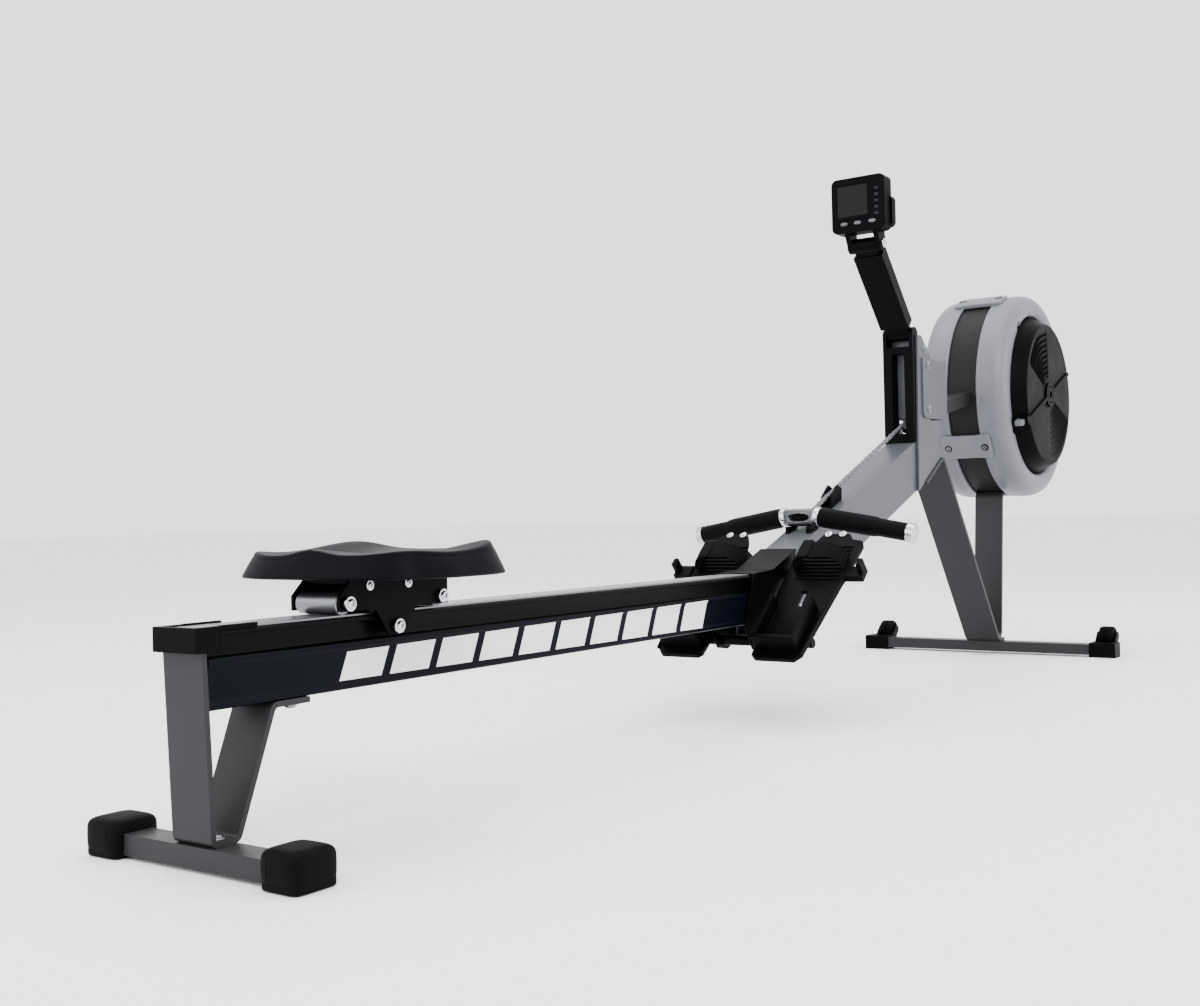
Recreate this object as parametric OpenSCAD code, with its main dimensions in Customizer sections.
// Air-resistance rowing machine, resting on the floor.
//
// The origin is on the floor under the middle of the machine. +X points from the
// seat towards the flywheel, +Y to the rower's left and +Z up.
// A station is a distance forward from the rear end of the rail, and outlines seen
// from the side are drawn in stations and heights, then extruded along Y.

/* [Overall] */
// Length from the rail's rear cap to the front of the flywheel housing
overall_l = 2600; // [2560:10:2640]
// Height of the flywheel's axle above the floor
axle_z = 594; // [590:1:598]
// Width over the front foot's end caps
front_foot_w = 584; // [560:2:620]
// Width over the rear foot's end caps
rear_foot_w = 316; // [300:2:340]

/* [Rail] */
// Height of the seat track's running surface above the floor
rail_top = 237; // [235:0.5:238]
// Overall width of the rail
rail_w = 58; // [56:0.5:60]
// Height of the rail including its track
rail_h = 80; // [76:1:84]

/* [Seat] */
// Width of the seat pad
seat_w = 296; // [270:2:320]
// Length of the seat pad along the rail
seat_l = 214; // [200:2:220]
// Thickness of the seat pad at its rim
seat_t = 34; // [28:1:36]
// Radius of the seat's two top rollers
roller_r = 12; // [11.5:0.1:12.5]

/* [Front frame] */
// Rise of the slanted tube above the horizontal, in degrees
tube_slope = 20.4; // [20:0.1:20.8]
// Width of the slanted tube
tube_w = 60; // [58:0.5:62]
// Vertical depth of the slanted tube
tube_depth = 100; // [96:1:102]

/* [Flywheel housing] */
// Outer radius of the housing's two shells
housing_r = 235; // [232:1:238]
// Distance between the shells' outer faces
housing_w = 196; // [190:2:200]
// Radius of the opening in the near shell
grille_r = 183; // [180:1:184]

/* [Handle] */
// Length of the handle over its end caps
handle_w = 420; // [400:2:440]
// Droop of the handle's two arms, in degrees
handle_bend = 10; // [8:0.5:11]
// Radius of the handle's grips
grip_r = 16.5; // [15:0.5:17]

/* [Monitor] */
// Width of the monitor
monitor_w = 110; // [106:1:116]
// Height of the monitor
monitor_h = 106; // [104:1:110]

/* [Hidden] */
$fn = 64;

// Clearances: a running fit, and the gap left between parts that only pass each other
running = 0.05;
passing = 0.3;

// Stations of the main features
axle_s = overall_l - housing_r;
bend_s = axle_s - 1209;
column_s = axle_s - 589;
column_depth = 30;
plate_s = column_s + column_depth;
rail_end_s = bend_s - 26;
seat_s = 270;
track_t = 3;
rail_bottom = rail_top - rail_h;
beam_top = rail_top - track_t;
tube_half = tube_w / 2;

// Height of the slanted tube's top face at a station
function tube_top(s) = rail_top + 1 + (s - bend_s) * tan(tube_slope);
function tube_bottom(s) = tube_top(s) - tube_depth;

// ---- Helpers ----

// Places children drawn in stations into the machine's frame
module station() { translate([-overall_l / 2, 0, 0]) children(); }

// Extrudes an outline drawn in stations and heights, from y_low to y_high
module along_y(y_low, y_high) {
  translate([0, y_high, 0]) rotate([90, 0, 0]) linear_extrude(y_high - y_low) children();
}

// Extrudes a cross-section drawn in Y and heights, from one station to another
module along_x(s_low, s_high) {
  translate([s_low, 0, 0]) rotate([90, 0, 90]) linear_extrude(s_high - s_low) children();
}

// A rod across the machine
module rod_y(s, z, r, y_low, y_high) {
  translate([s, y_high, z]) rotate([90, 0, 0]) cylinder(r = r, h = y_high - y_low);
}

// A block between two corners, given as ranges
module block(s, y, z) {
  translate([s[0], y[0], z[0]]) cube([s[1] - s[0], y[1] - y[0], z[1] - z[0]]);
}

module both_sides() {
  children();
  mirror([0, 1, 0]) children();
}

function unit(v) = v / norm(v);

// A smooth bend at corner b, which starts and ends a distance d from it
function bend(a, b, c, d) = let (p = b + d * unit(a - b), q = b + d * unit(c - b))
  [for (t = [0 : 0.2 : 1]) (1 - t) * (1 - t) * p + 2 * t * (1 - t) * b + t * t * q];

// A line of points with a smooth bend at each corner
function bent(points, d) = let (last = len(points) - 1)
  concat([points[0]], [for (i = [1 : last - 1]) each bend(points[i - 1], points[i], points[i + 1], d)], [points[last]]);

// The point beside points[i], a distance w to its left, with mitred corners
function beside(points, i, w) = let (last = len(points) - 1,
    u = i == 0 ? unit(points[1] - points[0]) : unit(points[i] - points[i - 1]),
    v = i == last ? u : unit(points[i + 1] - points[i]), m = unit(u + v))
  points[i] + w / (m * u) * [-m[1], m[0]];

// A flat strip of thickness t along a line of points
module strip(points, t) {
  last = len(points) - 1;
  polygon(concat([for (i = [0 : last]) beside(points, i, t / 2)],
                 [for (i = [last : -1 : 0]) beside(points, i, -t / 2)]));
}

// A rectangle with round corners, centred
module round_rect(w, h, r) {
  square([w - 2 * r, h], center = true);
  square([w, h - 2 * r], center = true);
  for (x = [-1, 1], y = [-1, 1]) translate([x * (w / 2 - r), y * (h / 2 - r)]) circle(r = r);
}

// A ring about the flywheel's axle, between two values of Y
module axle_ring(r_in, r_out, y_low, y_high) {
  translate([axle_s, y_high, axle_z]) rotate([90, 0, 0]) difference() {
    cylinder(r = r_out, h = y_high - y_low, $fn = 128);
    translate([0, 0, -1]) cylinder(r = r_in, h = y_high - y_low + 2, $fn = 128);
  }
}

// A wedge about the axle that covers the angles from a to b, measured from +X up
module axle_wedge(a, b, r) {
  translate([axle_s, 0, axle_z]) rotate([90, 0, 0]) translate([0, 0, -housing_w])
    linear_extrude(2 * housing_w)
      polygon([[0, 0], for (i = [0 : 4]) r / cos((b - a) / 8) * [cos(a + (b - a) * i / 4), sin(a + (b - a) * i / 4)]]);
}

// ---- Rail ----
neck_top = beam_top - 5;
neck_bottom = neck_top - 21;
neck_half = 19;
beam_start = 18;

module rail_section() {
  half = rail_w / 2;
  difference() {
    union() {
      translate([-half, rail_bottom]) square([rail_w, neck_bottom - rail_bottom]);
      translate([-neck_half, neck_bottom - 1]) square([2 * neck_half, neck_top - neck_bottom + 2]);
      translate([-half + 1, neck_top]) square([rail_w - 2, beam_top - neck_top]);
    }
    translate([-half + 3, rail_bottom + 3]) square([rail_w - 6, neck_bottom - rail_bottom - 7]);
    translate([-neck_half + 3, neck_bottom - 5]) square([2 * neck_half - 6, neck_top - neck_bottom + 2]);
  }
}

module rail_beam() {
  color("#15161c") station() along_x(beam_start, rail_end_s) rail_section();
}

module rail_track() {
  color("#a4a6aa") station() along_x(6, rail_end_s - 38)
    translate([-24, beam_top]) square([48, track_t]);
}

module rail_end_cap() {
  cap_half = rail_w / 2 + 3;
  color("#101012") station() difference() {
    union() {
      block([0, 33], [-cap_half, cap_half], [beam_top - 20, rail_top + 1.5]);
      both_sides() block([32, 78], [24.5, 30], [beam_top, rail_top + 2]);
    }
    block([beam_start, 34], [-rail_w / 2, rail_w / 2], [beam_top - 21, beam_top]);
    block([6, 80], [-24, 24], [beam_top - 1, rail_top + 3]);
    block([-1, 9], [-cap_half - 1, cap_half + 1], [beam_top - 21, beam_top - 20]);
  }
}

// ---- Rear leg and foot ----
rear_strip_t = 6;
rear_bar_top = 26;

module rear_leg() {
  z0 = rear_bar_top + rear_strip_t / 2;
  z1 = rail_bottom - rear_strip_t / 2;
  color("#76797d") station() difference() {
    along_y(-29, 29) strip(bent([[12.5, beam_top - 20.5], [20, z0], [50, z0], [98, z1], [146, z1]], 6), rear_strip_t);
    for (y = [-16, 16]) translate([130, y, z1 - 5]) cylinder(r = 4.1, h = 10);
    for (y = [-16, 16]) translate([33, y, z0 - 5]) cylinder(r = 4.1, h = 10);
  }
}

module rear_foot_bar() {
  color("#7d8084") station() difference() {
    block([16, 50], [-rear_foot_w / 2 + 6, rear_foot_w / 2 - 6], [4, rear_bar_top]);
    for (y = [-16, 16]) translate([33, y, 12]) cylinder(r = 4.1, h = 20);
  }
}

// A chunky rubber shoe, rounded all over, over the end of a bar
module shoe(s, y, z, r) {
  hull() for (a = s, b = y, c = [z[0] + r, z[1] - r])
    translate([a == s[0] ? a + r : a - r, b == y[0] ? b + r : b - r, c]) sphere(r = r, $fn = 24);
}

module rear_foot_caps() {
  half = rear_foot_w / 2;
  color("#18181a") station() both_sides() difference() {
    intersection() {
      shoe([5, 61], [half - 50, half], [-6, 38], 9);
      block([0, 70], [0, half + 1], [0, 40]);
    }
    block([16, 50], [0, half - 6], [4, rear_bar_top]);
  }
}

// A hexagon-head bolt: the head's underside is at the origin and the shank points down
module bolt(shank) {
  cylinder(r = 6.5, h = 5, $fn = 6);
  translate([0, 0, -shank]) cylinder(r = 4, h = shank + 0.5);
}

// ---- Slanted tube and the joint between rail and tube ----
crossbar_r = 8;
board_t = 8;
// The foot boards lie in a plane from the heel end to the toe end
heel_point = [bend_s - 106, 109];
toe_point = [bend_s + 101, 288];
board_run = toe_point - heel_point;
board_l = norm(board_run);
board_tilt = atan2(board_run[1], board_run[0]);
function board_point(along, below) = heel_point + along * board_run / board_l
  + below * [board_run[1], -board_run[0]] / board_l;
lower_bar = board_point(50, board_t + crossbar_r);
upper_bar = board_point(205, board_t + crossbar_r);

module main_tube() {
  s0 = bend_s - 16;
  s1 = plate_s;
  t = 3;
  color("#b9bcc2") station() difference() {
    along_y(-tube_half, tube_half)
      polygon([[s0, tube_top(s0)], [s1, tube_top(s1)], [s1, tube_bottom(s1)], [s0, tube_bottom(s0)]]);
    along_y(-tube_half + t, tube_half - t)
      polygon([[s0 - 1, tube_top(s0) - t - 2], [s1 + 1, tube_top(s1) - t], [s1 + 1, tube_bottom(s1) + t], [s0 - 1, tube_bottom(s0) + t]]);
    rod_y(upper_bar[0], upper_bar[1], crossbar_r + 0.2, -40, 40);
  }
}

module joint_bracket() {
  y_in = tube_half;
  y_out = tube_half + 4;
  s_front = bend_s + 84;
  color("#131316") station() difference() {
    union() {
      both_sides() along_y(y_in, y_out)
        polygon([[bend_s - 96, rail_bottom - 4], [bend_s - 66, rail_top], [bend_s, rail_top + 2],
                 [s_front, tube_top(s_front) + 3], [s_front - 34, tube_bottom(s_front) - 10],
                 [lower_bar[0] + 16, lower_bar[1] - 16], [lower_bar[0] - 14, lower_bar[1] - 12]]);
      along_y(-y_out, y_out)
        polygon([[bend_s - 62, beam_top], [bend_s - 62, rail_top + 1.5], [bend_s, rail_top + 5],
                 [s_front, tube_top(s_front) + 4], [s_front, tube_top(s_front)], [bend_s, tube_top(bend_s)],
                 [bend_s - 16, tube_top(bend_s - 16)], [bend_s - 26, beam_top]]);
    }
    for (bar = [lower_bar, upper_bar]) rod_y(bar[0], bar[1], crossbar_r + 0.2, -50, 50);
  }
}

module foot_crossbars() {
  color("#3a3b3f") station()
    for (bar = [lower_bar, upper_bar]) rod_y(bar[0], bar[1], crossbar_r, -132, 132);
}

// One foot board on the +Y side, drawn flat with X along the board from heel to toe
module board_outline() {
  polygon([[0, 52], [6, 45], [150, 38], [230, 38], [252, 62], [board_l - 4, 66], [board_l + 14, 74],
           [board_l + 14, 120], [board_l, 130], [board_l - 4, 148], [board_l - 14, 152], [180, 146],
           [170, 144], [12, 130], [0, 120]]);
}

module on_board() {
  translate([heel_point[0], 0, heel_point[1]]) rotate([0, -board_tilt, 0]) children();
}

heel_slot = [40, 150];
hook_x = 180;
module foot_board() {
  difference() {
    union() {
      on_board() translate([0, 0, -board_t]) linear_extrude(board_t) board_outline();
      on_board() translate([hook_x, 145, -board_t]) cube([24, 32, 12]);
      on_board() translate([hook_x + 8, 169, 0]) cube([16, 8, 22]);
    }
    on_board() translate([heel_slot[0], 82, -board_t - 1]) cube([heel_slot[1] - heel_slot[0], 10, board_t + 2]);
  }
}
module foot_board_left() { color("#17171a") station() foot_board(); }
module foot_board_right() { color("#17171a") station() mirror([0, 1, 0]) foot_board(); }

// A heel cup: a sole with a curved heel wall and a rib that runs in the board's slot
module heel_cup() {
  on_board() {
    translate([16, 50, passing]) difference() {
      cube([96, 74, 30]);
      translate([8, 6, 4]) cube([100, 62, 30]);
    }
    translate([62, 82.5, 0.5 - board_t]) cube([22, 9, board_t + 0.5]);
  }
}
module heel_cup_left() { color("#1f1f22") station() heel_cup(); }
module heel_cup_right() { color("#1f1f22") station() mirror([0, 1, 0]) heel_cup(); }

// A strap arched over each board at the ball of the foot
module foot_straps() {
  color("#232327") station() both_sides() on_board() translate([196, 94, 0]) rotate([90, 0, 90])
    linear_extrude(36) difference() {
      intersection() {
        circle(r = 50);
        translate([-50, 0.2]) square([100, 60]);
      }
      circle(r = 47);
    }
}

// ---- Handle, hook and chain ----
handle_s = bend_s + 174;
handle_z = 325;
chain_slope = 22;
link_s = handle_s + 62;
function chain_z(s) = handle_z + 20 + (s - link_s) * tan(chain_slope);
grip_from = 37;
cap_l = 13;
arm_end = (handle_w / 2 - grip_from) / cos(handle_bend);

// Carries a child drawn along +Z onto each drooping arm of the handle
module on_arms() {
  both_sides() translate([handle_s, grip_from, handle_z]) rotate([-90 - handle_bend, 0, 0]) children();
}

module handle_hook() {
  s = bend_s + 292;
  color("#161619") station() difference() {
    union() {
      both_sides() along_y(7, 11)
        polygon([[s - 20, tube_top(s - 20)], [s + 24, tube_top(s + 24)], [s + 26, tube_top(s) + 30],
                 [s + 10, tube_top(s) + 36], [s - 18, tube_top(s) + 14]]);
      along_y(-11, 11) polygon([[s - 20, tube_top(s - 20)], [s + 24, tube_top(s + 24)],
                                [s + 24, tube_top(s + 24) + 3], [s - 20, tube_top(s - 20) + 3]]);
      both_sides() along_y(16, 24)
        polygon([[handle_s - 16, tube_top(handle_s - 16)], [handle_s + 18, tube_top(handle_s + 18)],
                 [handle_s + 18, handle_z - 15.5], [handle_s - 16, handle_z - 15.5]]);
    }
    rod_y(s + 12, tube_top(s) + 19, 3, -20, 20);
  }
  color("#a9acb1") station() rod_y(s + 12, tube_top(s) + 19, 3, -11, 11);
}

module handle_bar() {
  color("#8d9095") station() union() {
    difference() {
      translate([handle_s, 0, handle_z]) rotate([0, 90, 0]) rotate([0, 0, 90]) translate([0, 0, -15])
        linear_extrude(32) round_rect(70, 30, 10);
      translate([handle_s - 16, 0, handle_z]) rotate([90, 0, 90]) linear_extrude(10) round_rect(42, 12, 5.5);
      translate([handle_s + 4, 0, handle_z]) cylinder(r = 4, h = 40, center = true);
    }
    on_arms() translate([0, 0, -6]) cylinder(r = 11, h = arm_end + 6 - 3);
  }
}

module handle_grips() {
  color("#111113") station() on_arms() difference() {
    cylinder(r = grip_r, h = arm_end - cap_l);
    translate([0, 0, -1]) cylinder(r = 11, h = arm_end);
  }
}

module handle_end_caps() {
  color("#c9cbcf") station() on_arms() translate([0, 0, arm_end - cap_l]) difference() {
    cylinder(r = grip_r + 0.5, h = cap_l);
    translate([0, 0, -1]) cylinder(r = 11, h = cap_l - 2);
  }
}

module handle_link() {
  color("#9b9ea3") station() {
    both_sides() translate([handle_s + 18.2, 12, handle_z]) rotate([0, 90 - chain_slope, 0]) cylinder(r = 3, h = 30);
    translate([handle_s + 17, 0, handle_z]) rotate([0, -chain_slope, 0]) {
      translate([26, -15, -4]) cube([6, 30, 8]);
      translate([31, 0, 0]) rotate([0, 90, 0]) cylinder(r = 5, h = 14);
    }
  }
}

// The chain's route: link, over the guide roller, round the sprocket and back towards the neck
guide_r = 12;
guide_s = plate_s + 18;
sprocket_r = 27;
chain_half = 2.5;
chain_r = sprocket_r + chain_half + passing;
guide_z = chain_z(guide_s) - (guide_r + chain_half + passing) / cos(chain_slope);
guide_top = [guide_s, chain_z(guide_s)];
sprocket_arc = [for (a = [101 : -16 : -91]) [axle_s, axle_z] + chain_r * [cos(a), sin(a)]];
chain_run = sprocket_arc[0] - guide_top;
// Height of the chain's upper strand between the guide roller and the sprocket
function strand_z(s) = guide_top[1] + (s - guide_s) * chain_run[1] / chain_run[0];
neck_w = 20;
neck_half_h = 14;
neck_end = axle_s - housing_r + 22;
chain_points = concat([[handle_s + 60, chain_z(handle_s + 60)], guide_top], sprocket_arc,
  [[neck_end + 4, strand_z(neck_end + 4) - 9]]);

module chain() {
  color("#8a8a8c") station() along_y(-3, 3) strip(chain_points, 2 * chain_half);
}

module shock_cord() {
  color("#2b2b30") station() along_y(-4, 4)
    strip([[bend_s + 130, tube_top(bend_s + 130) - 70], [plate_s - 6, tube_top(plate_s) - 70]], 8);
}

module guide_roller() {
  color("#2a2a2d") station() difference() {
    rod_y(guide_s, guide_z, guide_r, -10, 10);
    rod_y(guide_s, guide_z, 3 + running, -11, 11);
  }
}

// ---- Column and upright bracket ----
column_top = 697;
column_half = 32;
arm_pivot = [column_s + 15, column_top - 8];
slot_half = 13;
bracket_end_s = plate_s + 100;
bracket_run = [bracket_end_s, 442] - [column_s + 8, tube_bottom(column_s + 8)];
// Height of the bracket's sloping bottom plate at a station
function bracket_bottom(s) = 442 + (s - bracket_end_s) * bracket_run[1] / bracket_run[0];

module column_housing() {
  color("#121214") station() difference() {
    union() {
      along_y(-column_half, column_half)
        polygon([[column_s, tube_top(column_s)], [plate_s, tube_top(plate_s)], [plate_s, arm_pivot[1]], [column_s, arm_pivot[1]]]);
      rod_y(arm_pivot[0], arm_pivot[1], 15, -column_half, column_half);
    }
    block([column_s - 1, plate_s + 1], [-slot_half, slot_half], [488, 650]);
    block([column_s - 5, plate_s + 1], [-24, 24], [arm_pivot[1] - 25, column_top + 30]);
  }
  color("#9a9da2") station() rod_y(arm_pivot[0], arm_pivot[1], 5, -column_half + 0.5, column_half - 0.5);
}

module upright_bracket() {
  t = 4;
  y_in = column_half;
  s2 = bracket_end_s;
  color("#c3c6cb") station() difference() {
    union() {
      both_sides() along_y(y_in, y_in + t)
        polygon([[column_s + 8, bracket_bottom(column_s + 8) + 4], [column_s + 18, 688], [plate_s + 8, 688], [plate_s + 67, 634],
                 [plate_s + 67, 600], [plate_s + 46, 521], [s2, 446]]);
      along_y(-y_in - t, y_in + t)
        polygon([for (p = [[column_s + 8, 0], [s2, 0], [s2, t], [column_s + 8, t]]) [p[0], bracket_bottom(p[0]) + p[1]]]);
      block([plate_s, plate_s + t], [-y_in - t, y_in + t], [488, 688]);
    }
    block([plate_s - 1, plate_s + t + 1], [-slot_half, slot_half], [487, 524]);
    block([column_s, plate_s], [-tube_half, tube_half], [300, 480]);
    for (z = [539, 629]) rod_y(plate_s + 32, z, 4.1, -60, 60);
    rod_y(plate_s + 21, 662, 4.1, -60, 60);
  }
  color("#9a9da2") station() rod_y(guide_s, guide_z, 3, -y_in - 0.1, y_in + 0.1);
}

// A slanted channel round the chain, a given distance smaller than the neck's outside
arms_end = plate_s + 131;
module neck_channel(s_low, s_high, inset) {
  h = neck_half_h - inset;
  along_y(-neck_w + inset, neck_w - inset)
    polygon([[s_low, strand_z(s_low) - h], [s_high, strand_z(s_high) - h],
             [s_high, strand_z(s_high) + h], [s_low, strand_z(s_low) + h]]);
}

// A hollow neck that carries the flywheel housing and guides the chain into it
module housing_neck() {
  color("#242427") station() difference() {
    neck_channel(arms_end - 4, neck_end, 0);
    neck_channel(arms_end - 5, neck_end + 1, 4);
  }
}

// A folded bracket that clasps the neck between two ears bolted to the upright
module side_arms() {
  y_in = column_half + 4;
  color("#cfd1d6") station() difference() {
    union() {
      both_sides() along_y(y_in, y_in + 4) union() {
        polygon([[plate_s + 3, 533], [plate_s + 15, 521], [arms_end, 521], [arms_end, 642], [plate_s + 3, 642]]);
        translate([plate_s + 15, 533]) circle(r = 12);
      }
      block([arms_end - 4, arms_end], [-y_in - 1, y_in + 1], [521, 642]);
    }
    neck_channel(arms_end - 5, arms_end + 1, 0);
    for (z = [539, 629]) rod_y(plate_s + 32, z, 4.1, -60, 60);
  }
}

module frame_bolts() {
  y_out = column_half + 8;
  color("#6d6f73") station() {
    both_sides() for (z = [539, 629]) translate([plate_s + 32, y_out, z]) rotate([-90, 0, 0]) bolt(11);
    both_sides() translate([plate_s + 21, column_half + 4, 662]) rotate([-90, 0, 0]) bolt(3.5);
    for (y = [-16, 16]) translate([130, y, rail_bottom - rear_strip_t]) rotate([180, 0, 0]) bolt(5.9);
    for (y = [-16, 16]) translate([33, y, rear_bar_top + rear_strip_t]) bolt(17);
  }
}

// ---- Flywheel housing ----
shell_lip_y = 33;
face_y = housing_w / 2;

// The near shell's cross-section, in radius and distance from the mid-plane
module shell_section() {
  R = housing_r;
  g = grille_r;
  polygon([[R - 6.3, shell_lip_y], [R - 2, shell_lip_y], [R, shell_lip_y + 7], [R, face_y - 20], [R - 4, face_y - 7],
           [R - 14, face_y], [g + 9, face_y], [g + 1, face_y - 5], [g, face_y - 38], [g + 4, face_y - 38],
           [g + 5, face_y - 9], [g + 11, face_y - 4], [R - 16, face_y - 4], [R - 8, face_y - 10],
           [R - 4, face_y - 20], [R - 4, shell_lip_y + 9]]);
}

module shell() {
  translate([axle_s, 0, axle_z]) rotate([90, 0, 0]) rotate_extrude($fn = 96) shell_section();
}

module housing_shell_near() {
  color("#c6c9ce") station() difference() {
    shell();
    intersection() {
      axle_ring(grille_r - 10, grille_r + 14, -face_y - 1, -face_y + 22);
      axle_wedge(196, 208, 260);
    }
  }
}
module housing_shell_far() { color("#c6c9ce") station() mirror([0, 1, 0]) shell(); }

module housing_band() {
  r = housing_r - 8.7;
  color("#3b3a3c") station() difference() {
    axle_ring(r, r + 2, -shell_lip_y - 3, shell_lip_y + 3);
    neck_channel(arms_end, neck_end + 1, 0);
  }
}

module housing_clips() {
  color("#c6c9ce") station() for (a = [112, 211, 292, 22]) intersection() {
    axle_ring(housing_r + 0.1, housing_r + 7, -52, 52);
    axle_wedge(a - 8, a + 8, 300);
  }
}

hub_r = 20;
axle_r = 8;
disc_y = face_y - 36;

// The near grille is a drum that stands out of its shell, with a sloping shoulder and a slotted face
drum_y = face_y + 27;
drum_r = grille_r - 21;
shoulder_y = face_y - 10;
drum_wall = 4;
module near_grille() {
  color("#141419") station() difference() {
    union() {
      translate([axle_s, 0, axle_z]) rotate([90, 0, 0]) rotate_extrude($fn = 128)
        polygon([[axle_r, drum_y], [drum_r, drum_y], [grille_r, shoulder_y], [grille_r, disc_y], [grille_r - drum_wall, disc_y],
                 [grille_r - drum_wall, shoulder_y - 2], [drum_r - 2, drum_y - drum_wall], [axle_r, drum_y - drum_wall]]);
      axle_ring(axle_r, hub_r, -drum_y + 1, -drum_y + 16);
    }
    for (quadrant = [0, 180], r = [46 : 17 : drum_r - 12]) intersection() {
      axle_ring(r, r + 7, -drum_y - 2, -drum_y + drum_wall + 2);
      axle_wedge(quadrant + 96, quadrant + 150, 260);
    }
  }
}

module far_cover() {
  color("#141419") station() difference() {
    union() {
      axle_ring(axle_r, grille_r, disc_y, disc_y + 4);
      axle_ring(axle_r, 24, disc_y, disc_y + 14);
      for (r = [60 : 30 : 160]) axle_ring(r, r + 4, disc_y, disc_y + 7);
    }
    for (a = [0 : 30 : 330]) intersection() {
      axle_ring(70, 84, disc_y - 2, disc_y + 8);
      axle_wedge(a + 4, a + 22, 260);
    }
  }
}

bearing_y = [-46, -20];
module axle_and_bearings() {
  color("#8f9297") station() {
    rod_y(axle_s, axle_z, axle_r, -drum_y + 1, disc_y + 13);
    for (y = bearing_y) axle_ring(axle_r, hub_r, y - 6, y + 6);
  }
}

module flywheel() {
  vanes = 20;
  y_low = -58;
  y_high = -10;
  color("#33343a") station() {
    axle_ring(hub_r + running, 36, y_low, y_high);
    axle_ring(30, 200, -36, -30);
    axle_ring(196, 206, y_low, y_high);
    for (i = [0 : vanes - 1]) translate([axle_s, 0, axle_z]) rotate([0, (i + 0.5) * 360 / vanes, 0])
      block([120, 198], [y_low + 2, y_high - 2], [-1.5, 1.5]);
  }
}

module sprocket() {
  teeth = 14;
  color("#55565b") station() {
    axle_ring(axle_r + running, 18, -8, 8);
    axle_ring(10, sprocket_r - 2, -1.5, 1.5);
    for (i = [0 : teeth - 1]) translate([axle_s, 0, axle_z]) rotate([0, (i + 0.5) * 360 / teeth, 0])
      block([sprocket_r - 5, sprocket_r - 0.5], [-1.2, 1.2], [-1.5, 1.5]);
  }
}

module damper_lever() {
  y_low = -drum_y - passing - 4;
  y_high = -drum_y - passing;
  tip = [drum_r + 9, grille_r + 3];
  color("#1d1d22") station() union() {
    axle_ring(hub_r + running, 29, y_low, y_high);
    translate([axle_s, 0, axle_z]) rotate([0, -202, 0]) block([27, tip[1]], [y_low, y_high], [-4, 4]);
    translate([axle_s, 0, axle_z]) rotate([0, -22, 0]) block([27, drum_r - 6], [y_low, y_high], [-4, 4]);
    translate([axle_s, 0, axle_z]) rotate([0, -202, 0]) block(tip, [y_low, y_high + 14], [-9, 9]);
  }
}

// ---- Front legs and foot ----
front_strip_t = 8;
front_bar_top = 28;
front_bar_s = [axle_s - 125, axle_s - 89];
front_strip_half = 39;

module front_leg_rear() {
  z0 = front_bar_top + front_strip_t / 2;
  drop = front_strip_t / 2 / cos(atan2(bracket_run[1], bracket_run[0]));
  color("#6a6c70") station() difference() {
    along_y(-front_strip_half, front_strip_half)
      strip(bent([[column_s + 44, bracket_bottom(column_s + 44) - drop], [bracket_end_s + 8, bracket_bottom(bracket_end_s + 8) - drop],
                  [axle_s - 131, z0], [axle_s - 99, z0]], 12), front_strip_t);
    for (y = [-22, 22]) translate([axle_s - 109, y, z0 - 6]) cylinder(r = 4.1, h = 12);
  }
}

module front_leg_front() {
  z0 = front_bar_top + 1.5 * front_strip_t;
  color("#75777b") station() difference() {
    along_y(-shell_lip_y + 1, shell_lip_y - 1)
      strip(bent([[axle_s - 118, z0], [axle_s - 96, z0], [axle_s - 66, 364], [axle_s - 50, 371]], 10), front_strip_t);
    for (y = [-22, 22]) translate([axle_s - 109, y, z0 - 6]) cylinder(r = 4.1, h = 12);
    axle_ring(0.5, housing_r - 6.7, -60, 60);
  }
}

module front_foot_bar() {
  half = front_foot_w / 2 - 6;
  color("#7d8084") station() difference() {
    block(front_bar_s, [-half, half], [5, front_bar_top]);
    for (y = [-22, 22]) translate([axle_s - 109, y, 12]) cylinder(r = 4.1, h = 30);
  }
}

wheel_r = 21;
wheel_s = axle_s - 62;
wheel_z = 43;
wheel_y = [front_foot_w / 2 - 48, front_foot_w / 2 - 16];

module front_foot_caps() {
  half = front_foot_w / 2;
  color("#18181a") station() both_sides() union() {
    difference() {
      block([front_bar_s[0] - 4, front_bar_s[1] + 3], [half - 56, half], [0, front_bar_top + 4]);
      block(front_bar_s, [0, half - 6], [5, front_bar_top]);
      block([front_bar_s[0], front_bar_s[1] + 9], [wheel_y[0] - 1, wheel_y[1] + 1], [front_bar_top, 60]);
    }
    for (y = [[wheel_y[0] - 6, wheel_y[0] - 1], [wheel_y[1] + 1, wheel_y[1] + 6]]) along_y(y[0], y[1]) {
      polygon([[front_bar_s[1] + 3, 6], [front_bar_s[1] + 3, front_bar_top + 4], [wheel_s - 6, wheel_z + 7], [wheel_s + 8, wheel_z - 4]]);
      translate([wheel_s, wheel_z]) circle(r = 9);
    }
    rod_y(wheel_s, wheel_z, 4, wheel_y[0] - 3, wheel_y[1] + 3);
  }
}

module transport_wheel() {
  difference() {
    union() {
      rod_y(wheel_s, wheel_z, wheel_r, wheel_y[0] + 6, wheel_y[1] - 6);
      rod_y(wheel_s, wheel_z, wheel_r - 2, wheel_y[0] + 2, wheel_y[1] - 2);
      rod_y(wheel_s, wheel_z, 8, wheel_y[0] - 0.6, wheel_y[1] + 0.6);
    }
    rod_y(wheel_s, wheel_z, 4 + running, wheel_y[0] - 5, wheel_y[1] + 5);
  }
}
module wheel_left() { color("#222225") station() transport_wheel(); }
module wheel_right() { color("#222225") station() mirror([0, 1, 0]) transport_wheel(); }

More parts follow.
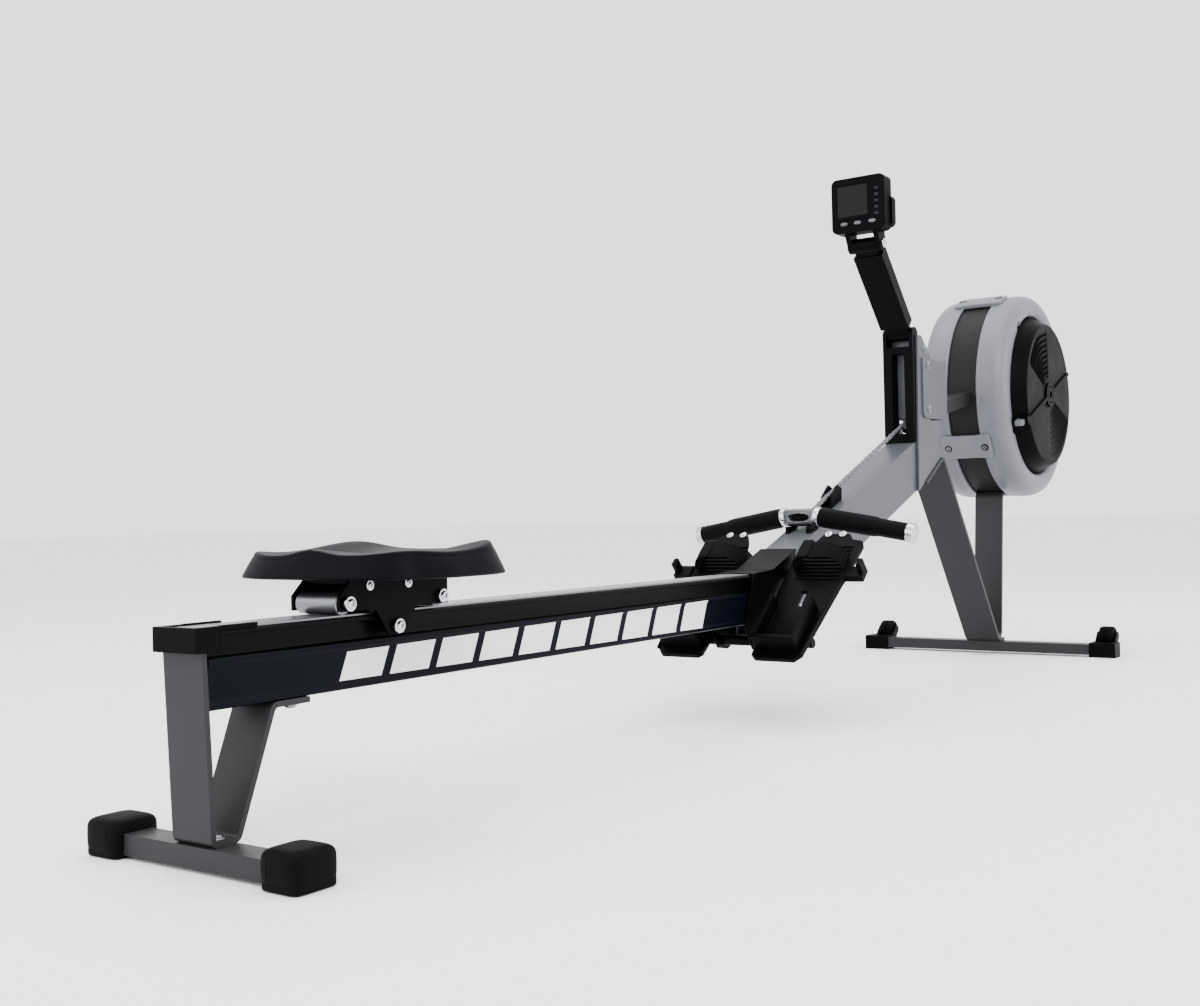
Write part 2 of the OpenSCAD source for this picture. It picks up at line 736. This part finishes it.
// ---- Monitor ----
monitor_s = column_s - 176;
monitor_bottom = 871;
monitor_t = 32;
knuckle = [monitor_s + 36, 850];
arm_run = knuckle - arm_pivot;
arm_l = norm(arm_run);
arm_tilt = atan2(arm_run[1], arm_run[0]);

module monitor_arm() {
  color("#121214") station() difference() {
    union() {
      translate([arm_pivot[0], 0, arm_pivot[1]]) rotate([0, -arm_tilt, 0]) {
        block([26, arm_l - 19], [-30, 30], [-13, 13]);
        block([0, 30], [-23, 23], [-10, 10]);
        block([arm_l - 30, arm_l], [-23, 23], [-11, 11]);
      }
      rod_y(arm_pivot[0], arm_pivot[1], 12, -23.7, 23.7);
      rod_y(knuckle[0], knuckle[1], 15, -23.7, 23.7);
    }
    rod_y(arm_pivot[0], arm_pivot[1], 5 + running, -40, 40);
    rod_y(knuckle[0], knuckle[1], 5 + running, -40, 40);
  }
}

button_travel = 1;
// Lower edge buttons then the column at the rower's right, as [y, height above the bottom, width, height]
buttons = [[30, 18, 15, 7], [2, 18, 15, 7], [-28, 18, 15, 7], [-38, 79, 9, 6], [-38, 67, 9, 6],
           [-38, 55, 9, 6], [-38, 43, 9, 6], [-38, 31, 9, 6]];
screen = [-19, 43, 32, 91];

module monitor_case() {
  w = monitor_w;
  h = monitor_h;
  mid = monitor_bottom + h / 2;
  color("#17171a") station() difference() {
    union() {
      translate([monitor_s, 0, mid]) rotate([90, 0, 90]) linear_extrude(monitor_t) round_rect(w, h, 12);
      translate([monitor_s + monitor_t - 8, 0, mid - 16]) rotate([90, 0, 90]) linear_extrude(16) round_rect(w + 10, h - 46, 10);
      both_sides() along_y(24, 34) union() {
        polygon([[monitor_s + 8, monitor_bottom + 4], [monitor_s + 44, monitor_bottom + 12], [knuckle[0] + 14, knuckle[1]], [knuckle[0] - 14, knuckle[1]]]);
        translate(knuckle) circle(r = 14);
      }
    }
    block([monitor_s - 1, monitor_s + 2], [screen[0], screen[1]], [monitor_bottom + screen[2], monitor_bottom + screen[3]]);
    for (b = buttons)
      block([monitor_s - 1, monitor_s + 5], [b[0] - b[2] / 2 - passing, b[0] + b[2] / 2 + passing],
            [monitor_bottom + b[1] - b[3] / 2 - passing, monitor_bottom + b[1] + b[3] / 2 + passing]);
  }
  color("#9a9da2") station() rod_y(knuckle[0], knuckle[1], 5, -37, 37);
}

module monitor_screen() {
  color("#5a6266") station()
    block([monitor_s + 0.6, monitor_s + 2], [screen[0], screen[1]], [monitor_bottom + screen[2], monitor_bottom + screen[3]]);
}

module monitor_button(i) {
  b = buttons[i];
  color(i < 3 ? "#c8cacc" : "#6b6e74") station()
    block([monitor_s - 1.5, monitor_s + 3.5], [b[0] - b[2] / 2, b[0] + b[2] / 2],
          [monitor_bottom + b[1] - b[3] / 2, monitor_bottom + b[1] + b[3] / 2]);
}
module monitor_button_1() { monitor_button(0); }
module monitor_button_2() { monitor_button(1); }
module monitor_button_3() { monitor_button(2); }
module monitor_button_4() { monitor_button(3); }
module monitor_button_5() { monitor_button(4); }
module monitor_button_6() { monitor_button(5); }
module monitor_button_7() { monitor_button(6); }
module monitor_button_8() { monitor_button(7); }

// ---- Seat ----
roller_z = rail_top + roller_r + 0.2;
roller_s = [seat_s - 76, seat_s + 71];
pad_bottom = rail_top + 38;
lower_r = 8;
lower_z = neck_top - lower_r - 0.5;
lower_s = seat_s - 2;
cheek_y = [33, 37];

module seat_pad() {
  color("#0e0e10") station() hull() {
    for (x = [-1, 1], y = [-1, 1])
      translate([seat_s + x * (seat_l / 2 - 60), y * (seat_w / 2 - 60), pad_bottom]) {
        cylinder(r = 54, h = 2, $fn = 48);
        translate([0, 0, 6]) cylinder(r = 60, h = seat_t - 14, $fn = 48);
        translate([0, 0, 6]) cylinder(r = 50, h = seat_t - 2, $fn = 48);
      }
  }
}

module seat_carriage() {
  color("#161618") station() difference() {
    union() {
      block([seat_s - 70, seat_s + 83], [-cheek_y[1], cheek_y[1]], [pad_bottom - 5, pad_bottom]);
      both_sides() along_y(cheek_y[0], cheek_y[1])
        polygon([[seat_s - 88, roller_z - 8], [seat_s - 88, roller_z + 8], [seat_s - 70, pad_bottom], [seat_s + 83, pad_bottom],
                 [seat_s + 83, roller_z - 9], [seat_s + 30, roller_z - 9], [lower_s + 12, lower_z - 9], [lower_s - 12, lower_z - 9], [seat_s - 34, roller_z - 9]]);
    }
    for (s = roller_s) rod_y(s, roller_z, 4, -50, 50);
    rod_y(lower_s, lower_z, 4, -50, 50);
  }
}

module top_roller(s) {
  difference() {
    rod_y(s, roller_z, roller_r, -31, 31);
    rod_y(s, roller_z, 4 + running, -40, 40);
  }
}
module seat_roller_rear() { color("#85878b") station() top_roller(roller_s[0]); }
module seat_roller_front() { color("#85878b") station() top_roller(roller_s[1]); }

module seat_rollers_lower() {
  color("#3c3c40") station() both_sides() difference() {
    rod_y(lower_s, lower_z, lower_r, 22, 32);
    rod_y(lower_s, lower_z, 4 + running, 10, 40);
  }
}

module seat_axles() {
  color("#9a9da2") station() {
    for (s = roller_s) {
      rod_y(s, roller_z, 4, -40, 40);
      both_sides() rod_y(s, roller_z, 6.5, 37, 41);
    }
    both_sides() {
      rod_y(lower_s, lower_z, 4, 21, 40);
      rod_y(lower_s, lower_z, 6.5, 37, 42);
    }
  }
}

rail_beam();
rail_track();
rail_end_cap();
rear_leg();
rear_foot_bar();
rear_foot_caps();
frame_bolts();
main_tube();
joint_bracket();
foot_crossbars();
foot_board_left();
foot_board_right();
foot_straps();
handle_hook();
column_housing();
upright_bracket();
housing_shell_near();
housing_shell_far();
housing_band();
housing_clips();
near_grille();
far_cover();
axle_and_bearings();
housing_neck();
side_arms();
front_leg_rear();
front_leg_front();
front_foot_bar();
front_foot_caps();
shock_cord();
heel_cup_left();
heel_cup_right();
handle_bar();
handle_grips();
handle_end_caps();
handle_link();
chain();
flywheel();
sprocket();
guide_roller();
damper_lever();
wheel_left();
wheel_right();
monitor_arm();
monitor_case();
monitor_screen();
monitor_button_1();
monitor_button_2();
monitor_button_3();
monitor_button_4();
monitor_button_5();
monitor_button_6();
monitor_button_7();
monitor_button_8();
seat_pad();
seat_carriage();
seat_roller_rear();
seat_roller_front();
seat_rollers_lower();
seat_axles();
